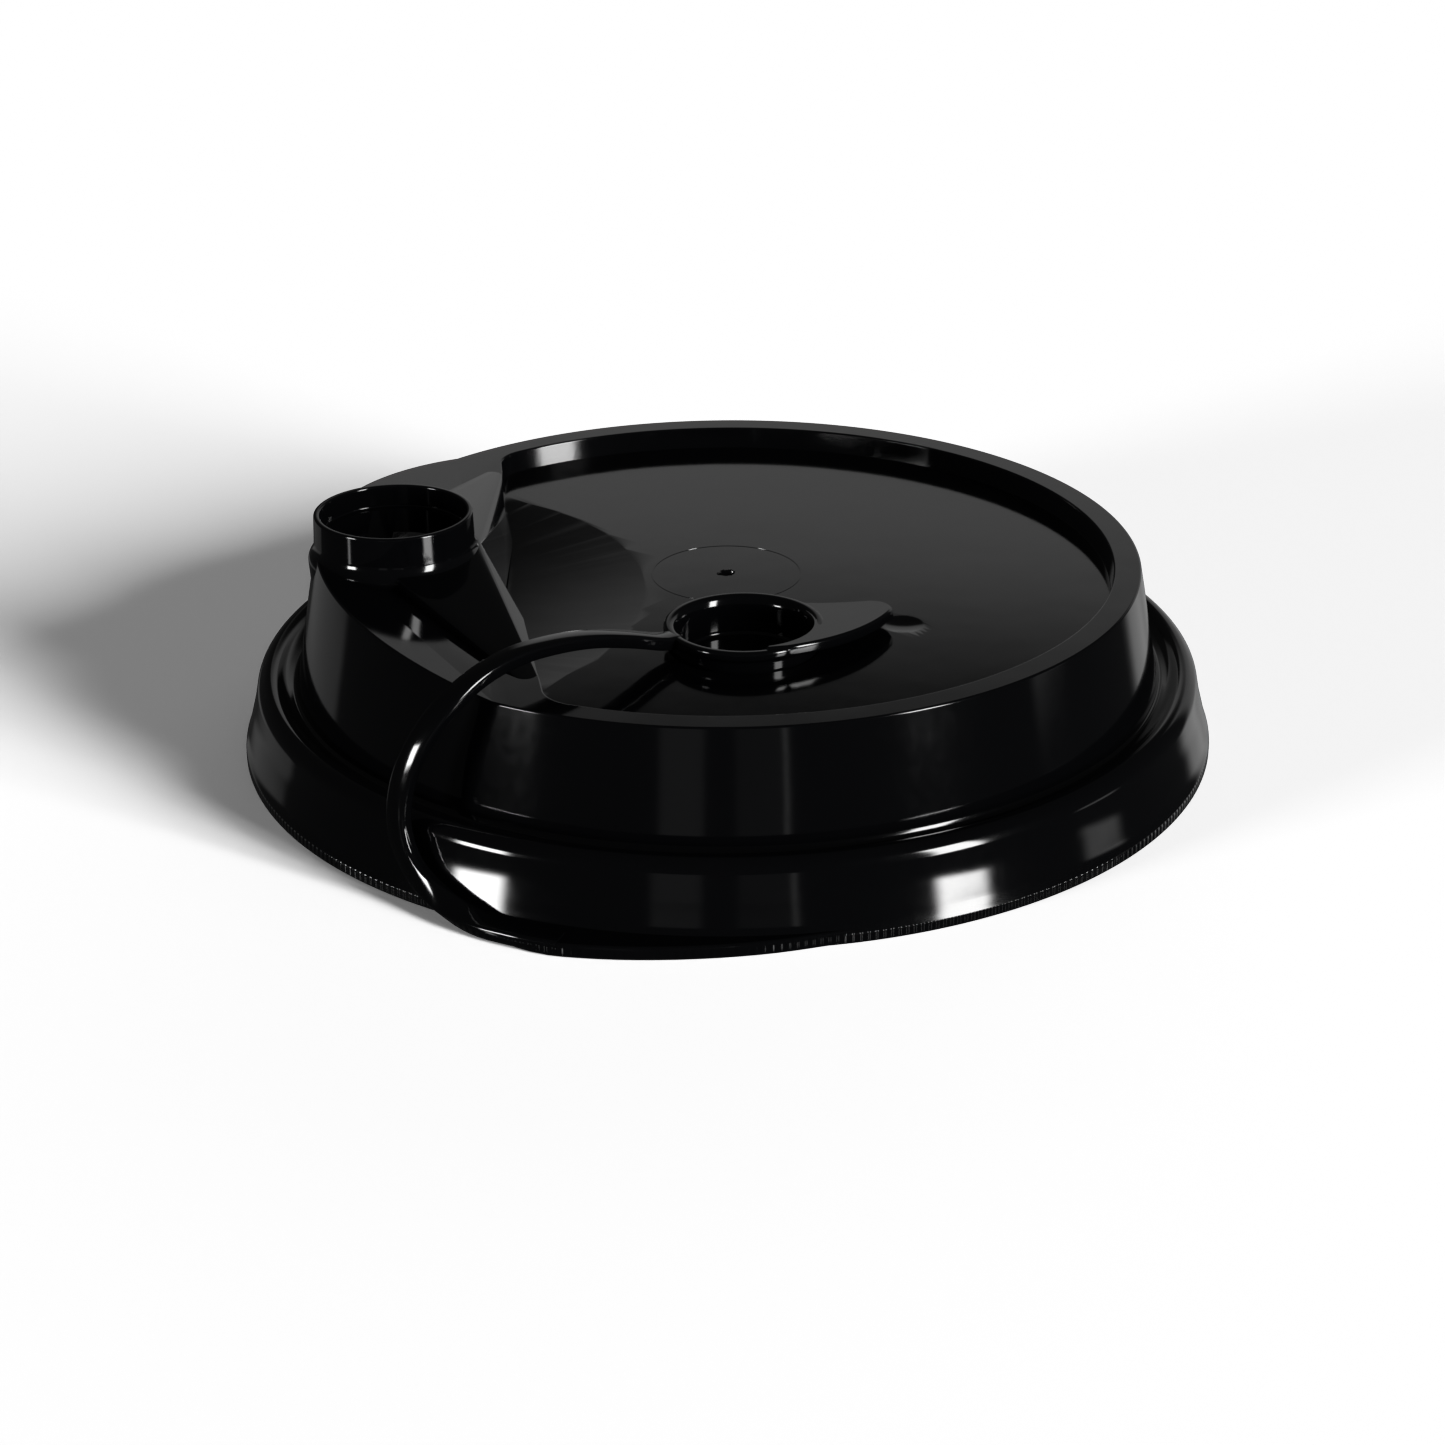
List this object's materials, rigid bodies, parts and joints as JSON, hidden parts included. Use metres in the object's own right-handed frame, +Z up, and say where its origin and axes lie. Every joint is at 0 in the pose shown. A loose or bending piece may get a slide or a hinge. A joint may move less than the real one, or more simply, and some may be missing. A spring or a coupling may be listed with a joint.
{
  "type": "coffee cup lid",
  "caption": "Press-on lid for a takeaway coffee cup, moulded in one piece with a drinking spout, a stopper on a strap and a pull tab, in glossy black plastic.",
  "frame": {"origin": "centre of the lid's lip, on the plane that it stands on", "axes": "+Z up along the lid's axis, out of the cup; the spout stands 170 degrees round from +X, and the strap's flange is on the side of -X and -Y"},
  "size_m": [0.0946, 0.0946, 0.0241],
  "materials": {
    "black_plastic": "gloss"
  },
  "bodies": {
    "root": {"cup_lid": "black_plastic"}
  },
  "joints": []
}
